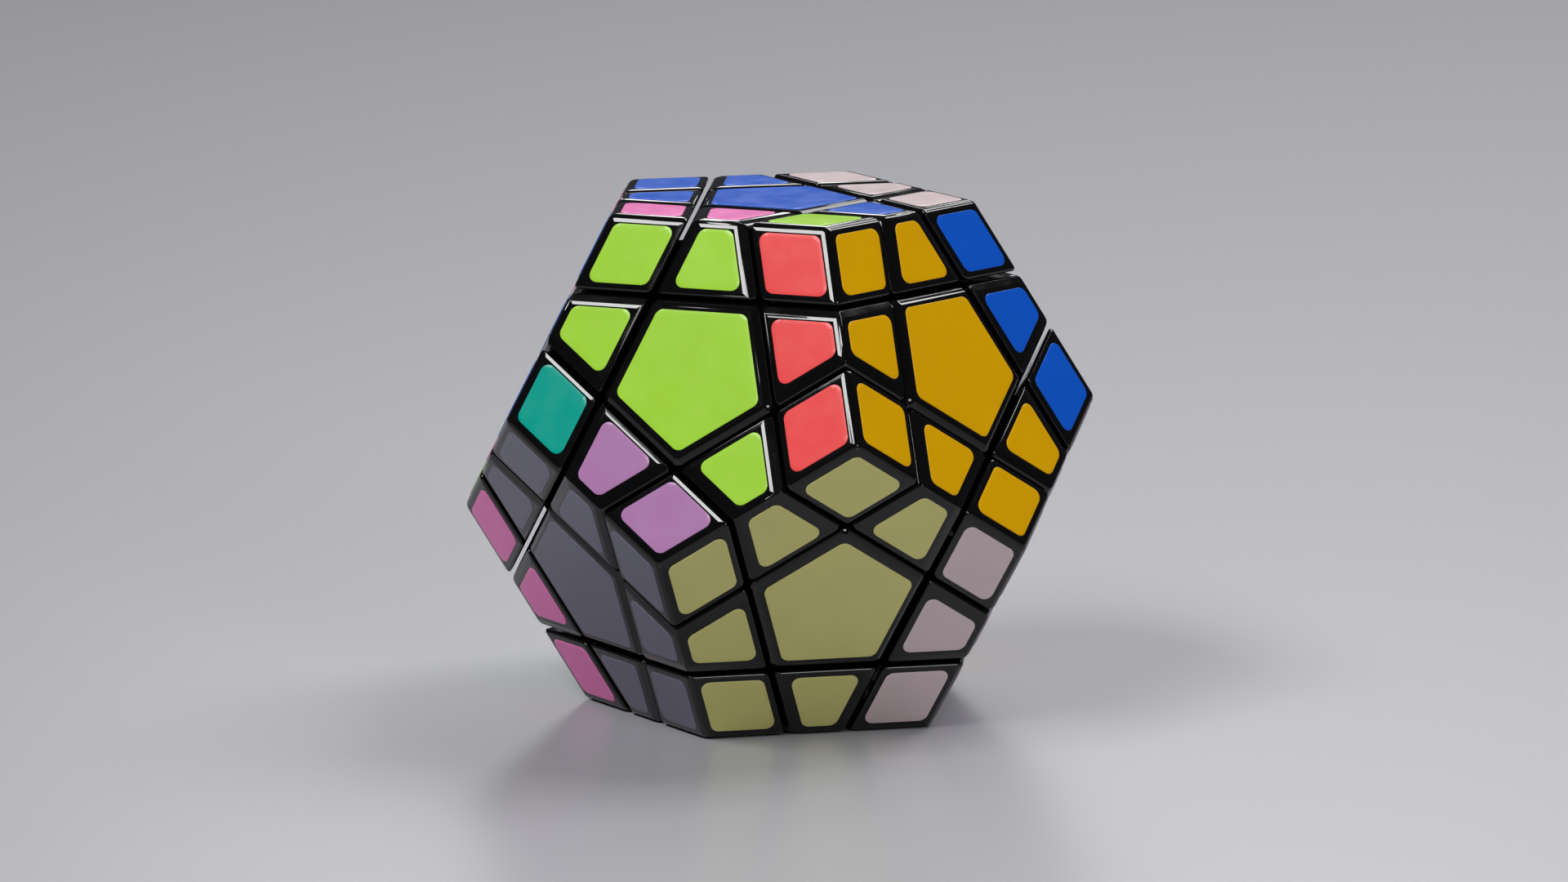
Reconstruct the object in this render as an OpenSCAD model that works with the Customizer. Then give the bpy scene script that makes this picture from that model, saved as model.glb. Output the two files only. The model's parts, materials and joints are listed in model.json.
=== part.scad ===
// Twelve-sided twisty puzzle: twelve layers that turn about the face axes of a dodecahedron.
// Every hidden surface is a plane, cone or sphere about a face axis, so each layer can turn.
// Corners hook under edges, edges hook under centres, and springs draw the centres to the core.

/* [Overall size] */
// Distance between opposite faces, over the tiles
across_flats = 70; // [68:1:73]
// Depth of a turning layer, from its tiles to the cut below it
layer_depth = 10.1; // [9.8:0.1:10.4]
// Bevel along the outer edges of edges and corners
bevel = 0.8; // [0.6:0.05:0.9]
// Bevel along the outer edges of the caps
cap_bevel = 0.6; // [0.4:0.05:0.8]
// Slope of the borders that fall away round the tiles of edges and corners, in degrees
border_slope = 5.5; // [4:0.5:8]

/* [Gaps] */
// Gap between neighbouring layers at the surface
layer_gap = 0.5; // [0.4:0.05:0.8]
// Gap between hidden necks and feet
inner_gap = 0.5; // [0.4:0.1:0.6]
// Sliding gap between a turning centre and what stays with the core
run_gap = 0.2; // [0.1:0.05:0.3]

/* [Mechanism] */
// Half angle of the cone that shapes the necks of edges and corners
neck_angle = 44; // [43.5:0.1:44.5]
// Half angle of the cone that shapes their feet
foot_angle = 49.5; // [49:0.1:50]
// Radius of the sphere over the feet
foot_top_r = 26; // [25.5:0.1:26.5]
// Radius of the sphere under the feet
foot_base_r = 21; // [20.5:0.1:21.5]
// Radius of a centre's stem
stem_r = 4.8; // [4.6:0.1:4.9]
// Height of the stem's foot above the middle of the puzzle
stem_z = 15.3; // [15:0.1:16]
// Height of the seam between a centre's base and its cap
seam_z = 31.4; // [31:0.1:31.8]
// Radius of the plug under a cap
plug_r = 5; // [4.6:0.1:5.4]
// Length of that plug
plug_h = 2.4; // [1.8:0.1:2.8]

/* [Core] */
// Radius of the core's ball
core_r = 9; // [8.5:0.1:10]
// Radius of an arm of the core at its root
arm_root_r = 4.6; // [4.2:0.1:4.8]
// Radius of an arm at its tip
arm_tip_r = 3.8; // [3.4:0.1:4.2]

/* [Screw, washer and spring] */
// Radius of the screw's shank
shank_r = 1.25; // [1.1:0.05:1.4]
// Radius of the screw's head
head_r = 2.7; // [2.4:0.1:3]
// Height of the screw's head
head_h = 2; // [1.6:0.1:2.2]
// Height of the screw's point above the middle of the puzzle
screw_tip_z = 6; // [5.5:0.1:7]
// Height of the face that the spring presses on, inside a centre
seat_z = 19; // [18.5:0.1:19.5]
// Radius of the bore that holds the spring
spring_bore_r = 3.6; // [3.5:0.05:3.7]
// Length of the fitted spring
spring_h = 5.4; // [5:0.1:5.8]
// Radius of the spring at the middle of its wire
spring_r = 2.65; // [2.6:0.05:2.7]
// Radius of the spring's wire
wire_r = 0.35; // [0.3:0.05:0.4]
// Turns of the spring
spring_turns = 4; // [3:1:4]
// Thickness of the washer
washer_t = 0.6; // [0.4:0.1:0.8]

/* [Tiles] */
// Thickness of a tile
tile_t = 0.1; // [0.08:0.02:0.3]
// From a cut to the tile beside it
tile_border = 1.55; // [1.5:0.05:1.7]
// From a cut to the slanted sides of an edge's tile
tile_side_border = 1.9; // [1.6:0.05:2.1]
// From an outer edge of the puzzle to the tile beside it
tile_outer_border = 1.3; // [1.25:0.05:1.5]
// Corner radius of a tile
tile_round = 1.2; // [0.8:0.1:1.4]

/* [Hidden] */
$fn = 48;
far = 60;                                   // beyond every surface of the puzzle
low_z = 8;                                  // where the cones stop, inside the hollow
tilt = acos(1 / sqrt(5));                   // angle between neighbouring face axes
face_z = across_flats / 2;                  // height of a tile's face above the middle
black_z = face_z - tile_t;                  // height of the black faces
cut_z = face_z - layer_depth;               // height of a cut above the middle
cut_s = (cut_z - face_z * cos(tilt)) / sin(tilt);   // middle of a face to a cut line on it
edge_s = face_z * (1 - cos(tilt)) / sin(tilt);      // middle of a face to its outer edges
half_gap = layer_gap / 2;
half_inner = inner_gap / 2;
washer_z = seat_z + run_gap + spring_h;
head_z = washer_z + washer_t;
arm_gap = 0.3;                              // between an arm of the core and a centre's stem
arm_z = stem_z - arm_gap;
blank_r = cut_s + 4;                        // trims the points of a centre's flange
fit = 0.05;                                 // clearance of pieces that sit in one another
over = 1;                                   // how far a cut or a plug runs past a face
shank_play = 0.1;                           // screw in the centre that turns about it
washer_play = 0.15;                         // screw in its washer
washer_rim = 0.2;                           // how far a washer overlaps its spring
head_wall_h = 0.6 * head_h;                 // straight part of the screw's head
head_top_r = 0.7 * head_r;                  // flat on top of it
recess_l = 1.1 * head_r;                    // cross recess: length, width and depth
recess_w = 0.6;
recess_d = 0.6 * head_h;
border_start = 0.08;                        // from a tile to where its border starts to slope
wire_sides = 6;
wire_rings = 8;

plastic = "#101012";
core_plastic = "#34363a";
steel = "#b9bcc0";
palette = [
    ["B", "#0f52c8"], ["P", "#ec86c0"], ["L", "#a0d43c"], ["W", "#dccaca"],
    ["R", "#ee5050"], ["A", "#d8a200"], ["K", "#d3ce83"], ["G", "#7c7a8e"],
    ["T", "#009d8c"], ["V", "#ad7aab"], ["O", "#f07a1e"], ["N", "#1f7a3a"]
];

// Face axes: the top, five of the upper ring, five of the lower ring and the bottom
function direction(t, az) = [sin(t) * cos(az), sin(t) * sin(az), cos(t)];
axes = concat(
    [[0, 0, 1]],
    [for (k = [0:4]) direction(tilt, 72 * k - 54)],
    [for (k = [0:4]) direction(180 - tilt, 72 * k - 90)],
    [[0, 0, -1]]
);
top = 0;
front = 6;
rear = 9;
layers = [top, front, rear];
layer_names = ["top", "front", "rear"];
centre_names = [
    "top", "front_right", "right", "back", "left", "front_left",
    "front", "low_right", "low_back", "rear", "low_left", "bottom"
];

// Colours of the tiles: the centre first, then edges and corners by turns, anticlockwise seen from
// outside, from the edge nearest the top or the bottom. The two end faces start at the back and front.
colours = [
    "BBBBPPLBWWW", "AAAAAAAABBB", "NNNNNNOOONN", "WWKKKWLLLWW", "PPPPPLLPBBB", "LLLLTVVLRRR",
    "KKWWWKKKKKK", "VGGVVVVVVVV", "OONNNOOOOOO", "TTTTTTTTGTT", "GGGGGGGGPPP", "RRAAARRRRRR"
];

function unit(v) = v / norm(v);
function touching(i, j) = i != j && axes[i] * axes[j] > 0.4;
function place(z, toward) =
    let (x = unit(toward - (toward * z) * z), y = cross(z, x))
    [[x[0], y[0], z[0], 0], [x[1], y[1], z[1], 0], [x[2], y[2], z[2], 0], [0, 0, 0, 1]];

edges = [for (i = [0:11], j = [i + 1:1:11]) if (touching(i, j)) [i, j]];
corners = [
    for (e = edges, k = [e[1] + 1:1:11]) if (touching(e[0], k) && touching(e[1], k)) [e[0], e[1], k]
];
function has(piece, i) = len(search(i, piece)) > 0;
function in_layers(piece) = len([for (i = layers) if (has(piece, i)) i]) > 0;
function of_layer(pieces, i) = [for (p = pieces) if (has(p, i)) p];
function fixed(pieces) = [for (p = pieces) if (!in_layers(p)) p];
fixed_faces = [for (i = [0:11]) if (!has(layers, i)) i];

// Local directions on a face whose axis is Z: neighbours of an edge piece and of a corner piece
up = [0, 0, 1];
beside = direction(tilt, 0);
edge_ends = [direction(tilt, 72), direction(tilt, -72)];
corner_axes = [up, direction(tilt, 36), direction(tilt, -36)];
corner_way = corner_axes[0] + corner_axes[1] + corner_axes[2];

// Turns what is drawn about Z to lie about n
module about(n) {
    multmatrix(place(n, abs(n[2]) > 0.9 ? [1, 0, 0] : up)) children();
}

// Everything on the inner side of the plane at distance d along n
module below(n, d) {
    about(n) translate([-far, -far, d - 2 * far]) cube(2 * far);
}

// The inner side of a bevel of width b between two planes that face outwards
module bevelled(n1, d1, n2, d2, b = bevel) {
    below(unit(n1 + n2), (d1 + d2) / norm(n1 + n2) - b * norm(n1 - n2) / 2);
}

// The inner side of the sloping borders round a tile, whose sides are given as for tile()
module borders(sides) {
    intersection_for (s = sides)
        below(
            direction(border_slope, s[0]),
            sin(border_slope) * (s[1] + border_start) + cos(border_slope) * black_z
        );
}

// Section of the space that turns with one layer: above the cut, and inside the neck cone below it
module layer_section(plane_gap, cone_gap) {
    z = cut_z + plane_gap;
    shift = cone_gap / cos(neck_angle);
    polygon([
        [0, low_z], [low_z * tan(neck_angle) - shift, low_z],
        [z * tan(neck_angle) - shift, z], [far, z], [far, far], [0, far]
    ]);
}

// Section of the feet that turn with one layer, before the spheres trim them
module foot_section(cone_gap) {
    shift = cone_gap / cos(foot_angle);
    polygon([
        [0, low_z], [low_z * tan(foot_angle) - shift, low_z],
        [cut_z * tan(foot_angle) - shift, cut_z], [0, cut_z]
    ]);
}

module layer_space() {
    rotate_extrude() layer_section(half_gap, half_inner);
}

module foot_space() {
    rotate_extrude() foot_section(half_inner);
}

// Room to leave for a layer that turns past a piece, with or without its feet
module layer_room() {
    rotate_extrude() layer_section(-half_gap, -half_inner);
}

module layer_and_foot_room() {
    rotate_extrude() {
        layer_section(-half_gap, -half_inner);
        intersection() {
            foot_section(-half_inner);
            circle(foot_top_r + half_inner);
        }
    }
}

// One corner piece, on the face whose axis is Z, with its tip toward +X
module corner_piece() {
    difference() {
        union() {
            intersection() {
                intersection_for (n = corner_axes) about(n) layer_space();
                intersection_for (n = corner_axes) below(n, black_z);
                intersection_for (n = corner_axes)
                    multmatrix(place(n, corner_way)) borders(corner_tile);
                intersection_for (k = [0:2])
                    bevelled(corner_axes[k], black_z, corner_axes[(k + 1) % 3], black_z);
                intersection_for (k = [0:2], step = [1, 2])
                    bevelled(corner_axes[k], black_z, -corner_axes[(k + step) % 3], -cut_z - half_gap);
            }
            intersection() {
                intersection_for (n = corner_axes) about(n) foot_space();
                sphere(foot_top_r - half_inner);
            }
        }
        sphere(foot_base_r + half_inner);
    }
}

// One edge piece, on the face whose axis is Z, with the other face toward +X
module edge_piece() {
    pair = [up, beside];
    difference() {
        union() {
            intersection() {
                intersection_for (n = pair) about(n) layer_space();
                intersection_for (n = pair) below(n, black_z);
                intersection_for (k = [0, 1])
                    multmatrix(place(pair[k], pair[1 - k])) borders(edge_tile);
                bevelled(up, black_z, beside, black_z);
                bevelled(up, black_z, -beside, -cut_z - half_gap);
                bevelled(beside, black_z, -up, -cut_z - half_gap);
                intersection_for (n = pair, m = edge_ends) bevelled(n, black_z, m, cut_z - half_gap);
            }
            intersection() {
                intersection_for (n = pair) about(n) foot_space();
                sphere(foot_top_r - half_inner);
            }
        }
        for (n = edge_ends) about(n) layer_and_foot_room();
        sphere(foot_base_r + half_inner);
    }
}

// The part of a centre that shows, from its flange over the feet up to the face
module centre_blank() {
    difference() {
        cylinder(h = black_z, r = blank_r);
        for (k = [0:4]) rotate([0, tilt, 72 * k]) layer_room();
        sphere(foot_top_r + half_inner);
    }
}

module centre_base() {
    difference() {
        union() {
            intersection() {
                centre_blank();
                cylinder(h = seam_z, r = far);
            }
            translate([0, 0, stem_z]) cylinder(h = foot_top_r + plug_h - stem_z, r = stem_r);
        }
        cylinder(h = far, r = shank_r + shank_play);
        translate([0, 0, seat_z]) cylinder(h = far, r = spring_bore_r);
        translate([0, 0, seam_z - plug_h - fit]) cylinder(h = far, r = plug_r + fit);
    }
}

// Pentagonal lid over the screw, with the plug that holds it in the base
module centre_cap() {
    intersection() {
        centre_blank();
        translate([0, 0, seam_z]) cylinder(h = far, r = far);
        intersection_for (k = [0:4])
            bevelled(up, black_z, direction(tilt, 72 * k), cut_z - half_gap, cap_bevel);
    }
    translate([0, 0, seam_z - plug_h]) cylinder(h = plug_h + over, r = plug_r);
}

// Crossing of two lines, each given by the angle of its normal and its distance from the middle
function crossing(a, p, b, q) = [p * sin(b) - q * sin(a), q * cos(a) - p * cos(b)] / sin(b - a);
function along(a) = [cos(a), sin(a)];

// A tile inside lines given as [angle of the outward normal, distance], anticlockwise
module tile(sides) {
    n = len(sides);
    hubs = [
        for (k = [0:n - 1])
            let (a = sides[k], b = sides[(k + 1) % n])
            crossing(a[0], a[1] - tile_round, b[0], b[1] - tile_round)
    ];
    translate([0, 0, black_z]) linear_extrude(tile_t) {
        polygon([
            for (k = [0:n - 1], end = [0, 1])
                hubs[k] + tile_round * along(sides[(k + end) % n][0])
        ]);
        for (h = hubs) translate(h) circle(tile_round);
    }
}

inner_s = cut_s + tile_border;
outer_s = edge_s - tile_outer_border;
centre_tile = [for (k = [0:4]) [72 * k, cut_s - tile_border]];
edge_tile = [
    [0, outer_s], [72, cut_s - tile_side_border], [180, -inner_s], [288, cut_s - tile_side_border]
];
corner_tile = [[-36, outer_s], [36, outer_s], [144, -inner_s], [216, -inner_s]];

// Where a face's colours start: toward the nearer end face, or the back or front on the end faces
function first_way(i) = i == 0 ? [0, 1, 0] : i == 11 ? [0, -1, 0] : i < 6 ? axes[0] : axes[11];
function colour_at(i, way) =
    let (
        z = axes[i],
        x = unit(first_way(i) - (first_way(i) * z) * z),
        turn = atan2(way * cross(z, x), way * x)
    )
    colours[i][1 + (round(turn / 36) + 10) % 10];
function shade(letter) = palette[search(letter, palette)[0]][1];
function middle(piece) = [for (c = [0:2]) [for (i = piece) axes[i][c]] * [for (i = piece) 1]];

module edge_tiles(pieces) {
    for (p = pieces, k = [0, 1])
        color(shade(colour_at(p[k], axes[p[1 - k]])))
            multmatrix(place(axes[p[k]], axes[p[1 - k]])) tile(edge_tile);
}

module corner_tiles(pieces) {
    for (p = pieces, i = p)
        color(shade(colour_at(i, middle(p)))) multmatrix(place(axes[i], middle(p))) tile(corner_tile);
}

module centre_tiles(faces) {
    for (i = faces) color(shade(colours[i][0])) on_face(i) tile(centre_tile);
}

module tiles(faces, edge_list, corner_list) {
    centre_tiles(faces);
    edge_tiles(edge_list);
    corner_tiles(corner_list);
}

// A face's own frame, with +X toward one of its neighbours
module on_face(i) {
    multmatrix(place(axes[i], [for (j = [0:11]) if (touching(i, j)) axes[j]][0])) children();
}

module corner_at(p) {
    color(plastic) multmatrix(place(axes[p[0]], middle(p))) corner_piece();
}

module edge_at(p) {
    color(plastic) multmatrix(place(axes[p[0]], axes[p[1]])) edge_piece();
}

module centres(faces) {
    for (i = faces) color(plastic) on_face(i) centre_base();
}

module caps(faces) {
    for (i = faces) color(plastic) on_face(i) centre_cap();
}

module pilot_hole() {
    translate([0, 0, screw_tip_z - over]) cylinder(h = far, r = shank_r + fit);
}

// Spider of twelve tapered arms on a ball, with a pilot hole in each arm
module core() {
    color(core_plastic) difference() {
        union() {
            sphere(core_r);
            for (n = axes) about(n) cylinder(h = arm_z, r1 = arm_root_r, r2 = arm_tip_r);
        }
        for (n = axes) about(n) pilot_hole();
    }
}

// Pan-head screw with a cross recess
module screw() {
    difference() {
        rotate_extrude() polygon([
            [0, screw_tip_z], [shank_r, screw_tip_z + shank_r], [shank_r, head_z], [head_r, head_z],
            [head_r, head_z + head_wall_h], [head_top_r, head_z + head_h], [0, head_z + head_h]
        ]);
        for (a = [0, 90])
            rotate(a) translate([-recess_l / 2, -recess_w / 2, head_z + head_h - recess_d])
                cube([recess_l, recess_w, head_h]);
    }
}

module core_screws() {
    for (n = axes) color(steel) about(n) screw();
}

module screw_washers() {
    for (n = axes) color(steel) about(n) translate([0, 0, washer_z]) difference() {
        cylinder(h = washer_t, r = spring_r + wire_r + washer_rim);
        translate([0, 0, -over]) cylinder(h = washer_t + 2 * over, r = shank_r + washer_play);
    }
}

// Helix of round wire, longer than the fitted spring so that both ends can be ground flat
spring_pitch = spring_h / spring_turns;
spring_steps = spring_turns * wire_rings;
spring_points = [
    for (s = [0:spring_steps], w = [0:wire_sides - 1])
        let (a = 360 * s / wire_rings, b = 360 * w / wire_sides, r = spring_r + wire_r * cos(b))
        [r * cos(a), r * sin(a), spring_pitch * s / wire_rings + wire_r * sin(b)]
];
function ring_point(s, w) = s * wire_sides + w % wire_sides;
spring_faces = concat(
    [for (w = [1:wire_sides - 2]) [0, w, w + 1]],
    [
        for (s = [0:spring_steps - 1], w = [0:wire_sides - 1], half = [0, 1])
            half == 0
                ? [ring_point(s, w), ring_point(s + 1, w), ring_point(s + 1, w + 1)]
                : [ring_point(s, w), ring_point(s + 1, w + 1), ring_point(s, w + 1)]
    ],
    [
        for (w = [1:wire_sides - 2])
            [ring_point(spring_steps, 0), ring_point(spring_steps, w + 1), ring_point(spring_steps, w)]
    ]
);
echo(least_gap_between_turns = spring_pitch - 2 * wire_r);

module spring() {
    translate([0, 0, seat_z + run_gap]) intersection() {
        polyhedron(spring_points, spring_faces);
        cylinder(h = spring_h, r = spring_bore_r);
    }
}

module tension_springs() {
    for (n = axes) color(steel) about(n) spring();
}

function numbered(name, kind) = [for (k = [1:5]) str(name, "_", kind, "_", k)];

core();
core_screws();
screw_washers();
tension_springs();
for (i = [0:11])
    centres([i]);
for (l = [0:2]) {
    face = layers[l];
    name = layer_names[l];
    caps([face]);
    for (k = [1:5]) {
        edge_at(of_layer(edges, face)[k - 1]);
        corner_at(of_layer(corners, face)[k - 1]);
    }
    tiles([face], of_layer(edges, face), of_layer(corners, face));
}
caps(fixed_faces);  // caps_fixed
for (p = fixed(edges)) edge_at(p);  // edges_fixed
for (p = fixed(corners)) corner_at(p);  // corners_fixed
tiles(fixed_faces, fixed(edges), fixed(corners));  // tiles_fixed
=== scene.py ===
"""Looks of a twelve-sided twisty puzzle, built around its packed construction model.

Every black moulding and every coloured tile is modelled here over the solid that it stands for.
The core, screws, washers, springs and the bases of the centres keep their solids and get finishes.
"""

from __future__ import annotations

import json
import logging
import math
from collections.abc import Callable, Sequence
from dataclasses import dataclass
from enum import Enum
from typing import ClassVar

import bmesh
import bpy
from mathutils import Matrix, Vector

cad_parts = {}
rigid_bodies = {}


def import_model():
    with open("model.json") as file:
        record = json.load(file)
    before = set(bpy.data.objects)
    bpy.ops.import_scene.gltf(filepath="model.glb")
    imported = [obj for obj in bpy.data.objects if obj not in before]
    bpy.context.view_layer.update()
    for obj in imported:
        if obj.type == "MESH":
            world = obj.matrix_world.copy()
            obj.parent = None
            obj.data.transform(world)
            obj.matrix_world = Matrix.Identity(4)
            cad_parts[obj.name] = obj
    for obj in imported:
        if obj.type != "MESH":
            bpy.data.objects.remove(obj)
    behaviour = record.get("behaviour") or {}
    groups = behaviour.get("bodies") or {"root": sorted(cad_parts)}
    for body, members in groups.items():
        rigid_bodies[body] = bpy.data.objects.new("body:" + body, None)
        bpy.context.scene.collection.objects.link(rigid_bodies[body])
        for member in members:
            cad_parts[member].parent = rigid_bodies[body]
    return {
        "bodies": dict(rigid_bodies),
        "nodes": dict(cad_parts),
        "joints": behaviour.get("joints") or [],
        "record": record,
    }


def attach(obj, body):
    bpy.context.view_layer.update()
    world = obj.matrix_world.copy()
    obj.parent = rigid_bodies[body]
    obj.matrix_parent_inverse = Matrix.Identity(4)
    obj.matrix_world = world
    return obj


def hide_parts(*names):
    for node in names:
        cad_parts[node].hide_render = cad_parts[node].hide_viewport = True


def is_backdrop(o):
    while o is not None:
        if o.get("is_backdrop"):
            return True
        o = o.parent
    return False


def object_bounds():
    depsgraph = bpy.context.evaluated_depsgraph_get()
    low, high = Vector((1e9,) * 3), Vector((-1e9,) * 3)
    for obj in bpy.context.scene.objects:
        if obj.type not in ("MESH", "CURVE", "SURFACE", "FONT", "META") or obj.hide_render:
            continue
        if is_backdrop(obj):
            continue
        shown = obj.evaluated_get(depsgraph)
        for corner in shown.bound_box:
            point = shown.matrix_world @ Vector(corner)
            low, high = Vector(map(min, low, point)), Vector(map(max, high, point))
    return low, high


LOG = logging.getLogger("twisty_puzzle")
MM = 0.001
FACES = 12
SIDES = 5
STEP = 360 / SIDES
LEVEL = math.pi / 2
UP = Vector((0, 0, 1))
Piece = Sequence[int]
Side = tuple[float, float]
EdgeTest = Callable[[Vector, Vector], bool]


class Hue(Enum):
    """Colours of the tiles, each with its letter in the colour strings."""

    BLUE = "B"
    PINK = "P"
    LIME = "L"
    WHITE = "W"
    RED = "R"
    AMBER = "A"
    KHAKI = "K"
    GREY = "G"
    TEAL = "T"
    LILAC = "V"
    ORANGE = "O"
    GREEN = "N"

    @property
    def slot(self) -> str:
        """The record's material slot for tiles of this colour."""
        return f"tile_{self.name.lower()}"


class Join(Enum):
    """Ways to combine two solids."""

    UNION = "UNION"
    INTERSECT = "INTERSECT"
    DIFFERENCE = "DIFFERENCE"


def direction(tilt: float, azimuth: float) -> Vector:
    """Unit vector at an angle from +Z and an azimuth from +X.

    Args:
        tilt: Angle from +Z, in radians.
        azimuth: Angle from +X about +Z, in degrees.

    Returns:
        The unit vector.
    """
    turn = math.radians(azimuth)
    return Vector((math.sin(tilt) * math.cos(turn), math.sin(tilt) * math.sin(turn), math.cos(tilt)))


def place(axis: Vector, toward: Vector) -> Matrix:
    """Frame whose Z lies along an axis and whose X points as far toward a direction as it can.

    Args:
        axis: Unit vector for Z.
        toward: Direction that X turns to.

    Returns:
        The rotation as a 4 by 4 matrix.
    """
    x = (toward - toward.dot(axis) * axis).normalized()
    y = axis.cross(x)
    return Matrix((x, y, axis)).transposed().to_4x4()


def about(axis: Vector) -> Matrix:
    """Any frame whose Z lies along an axis.

    Args:
        axis: Unit vector for Z.

    Returns:
        The rotation as a 4 by 4 matrix.
    """
    nearly_upright = abs(axis.z) > 0.9
    return place(axis, Vector((1, 0, 0)) if nearly_upright else UP)


@dataclass(frozen=True)
class Lattice:
    """Faces, edges and corners of the dodecahedron, with the sizes that all pieces share.

    Attributes:
        face_z: Height of the tiles' faces above the middle of the puzzle.
        layer_depth: Depth of a turning layer.
        layer_gap: Gap between layers.
        inner_gap: Gap between hidden necks and feet.
        tile_t: Height of the tiles over the black.
        tilt: Angle between the axes of two faces that share an edge.
        upper_start: Azimuth of the first face of the upper ring, in degrees.
        lower_start: Azimuth of the first face of the lower ring, in degrees.
        names: Names of the faces, in the order of their axes.
        layers: Names of the faces whose layers have a joint.
        colours: Letters of each face's tiles: the centre, then edges and corners by turns, anticlockwise.
    """

    face_z: float
    layer_depth: float = 10.1 * MM
    layer_gap: float = 0.5 * MM
    inner_gap: float = 0.5 * MM
    tile_t: float = 0.1 * MM
    tilt: float = math.acos(1 / math.sqrt(5))
    upper_start: float = -54.0
    lower_start: float = -90.0
    names: tuple[str, ...] = (
        "top", "front_right", "right", "back", "left", "front_left",
        "front", "low_right", "low_back", "rear", "low_left", "bottom",
    )
    layers: tuple[str, ...] = ("top", "front", "rear")
    colours: tuple[str, ...] = (
        "BBBBPPLBWWW", "AAAAAAAABBB", "NNNNNNOOONN", "WWKKKWLLLWW", "PPPPPLLPBBB", "LLLLTVVLRRR",
        "KKWWWKKKKKK", "VGGVVVVVVVV", "OONNNOOOOOO", "TTTTTTTTGTT", "GGGGGGGGPPP", "RRAAARRRRRR",
    )

    @property
    def black_z(self) -> float:
        """Height of the black faces above the middle of the puzzle."""
        return self.face_z - self.tile_t

    @property
    def cut_z(self) -> float:
        """Height of the cut under a layer above the middle of the puzzle."""
        return self.face_z - self.layer_depth

    @property
    def half_gap(self) -> float:
        """Half of the gap between layers."""
        return self.layer_gap / 2

    @property
    def half_inner(self) -> float:
        """Half of the gap between hidden necks and feet."""
        return self.inner_gap / 2

    @property
    def cut_s(self) -> float:
        """Distance from the middle of a face to a cut line on it."""
        return (self.cut_z - self.face_z * math.cos(self.tilt)) / math.sin(self.tilt)

    @property
    def edge_s(self) -> float:
        """Distance from the middle of a face to its outer edges."""
        return self.face_z * (1 - math.cos(self.tilt)) / math.sin(self.tilt)

    @property
    def axes(self) -> list[Vector]:
        """Face axes: the top, the upper ring, the lower ring and the bottom."""
        upper = [direction(self.tilt, STEP * k + self.upper_start) for k in range(SIDES)]
        lower = [direction(math.pi - self.tilt, STEP * k + self.lower_start) for k in range(SIDES)]
        return [UP, *upper, *lower, -UP]

    def touching(self, i: int, j: int) -> bool:
        """Whether two faces share an edge."""
        axes = self.axes
        return i != j and axes[i].dot(axes[j]) > 0

    def neighbour(self, face: int) -> Vector:
        """Axis of the first face that shares an edge with a face."""
        return next(self.axes[j] for j in range(FACES) if self.touching(face, j))

    @property
    def edges(self) -> list[tuple[int, ...]]:
        """Pairs of faces that share an edge."""
        return [(i, j) for i in range(FACES) for j in range(i + 1, FACES) if self.touching(i, j)]

    @property
    def corners(self) -> list[tuple[int, ...]]:
        """Triples of faces that share a corner."""
        return [
            (i, j, k)
            for i, j in self.edges
            for k in range(j + 1, FACES)
            if self.touching(i, k) and self.touching(j, k)
        ]

    def middle(self, piece: Piece) -> Vector:
        """Direction of a piece from the middle of the puzzle, not of unit length."""
        axes = self.axes
        return sum((axes[i] for i in piece), Vector())

    def layer_of(self, piece: Piece) -> str | None:
        """Name of the turning layer that holds a piece, or None."""
        held = [name for name in self.layers if self.names.index(name) in piece]
        return held[0] if held else None

    def body_of(self, piece: Piece) -> str:
        """Name of the body that a piece rides on."""
        layer = self.layer_of(piece)
        return f"{layer}_layer" if layer else "body"

    def hue_at(self, face: int, way: Vector | None = None) -> Hue:
        """Colour of a tile, from the letters of its face.

        The first edge is the one nearest the top or the bottom, and on those two faces +Y or -Y.

        Args:
            face: Index of the face that the tile lies on.
            way: Direction of the piece that carries it, or None for the centre.

        Returns:
            The tile's colour.
        """
        if way is None:
            return Hue(self.colours[face][0])
        axis = self.axes[face]
        ends = {0: Vector((0, 1, 0)), FACES - 1: Vector((0, -1, 0))}
        nearer = self.axes[0] if face <= SIDES else self.axes[FACES - 1]
        frame = place(axis, ends.get(face, nearer)).to_3x3().transposed()
        local = frame @ way
        turn = math.degrees(math.atan2(local.y, local.x))
        return Hue(self.colours[face][1 + round(2 * turn / STEP) % (2 * SIDES)])


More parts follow.
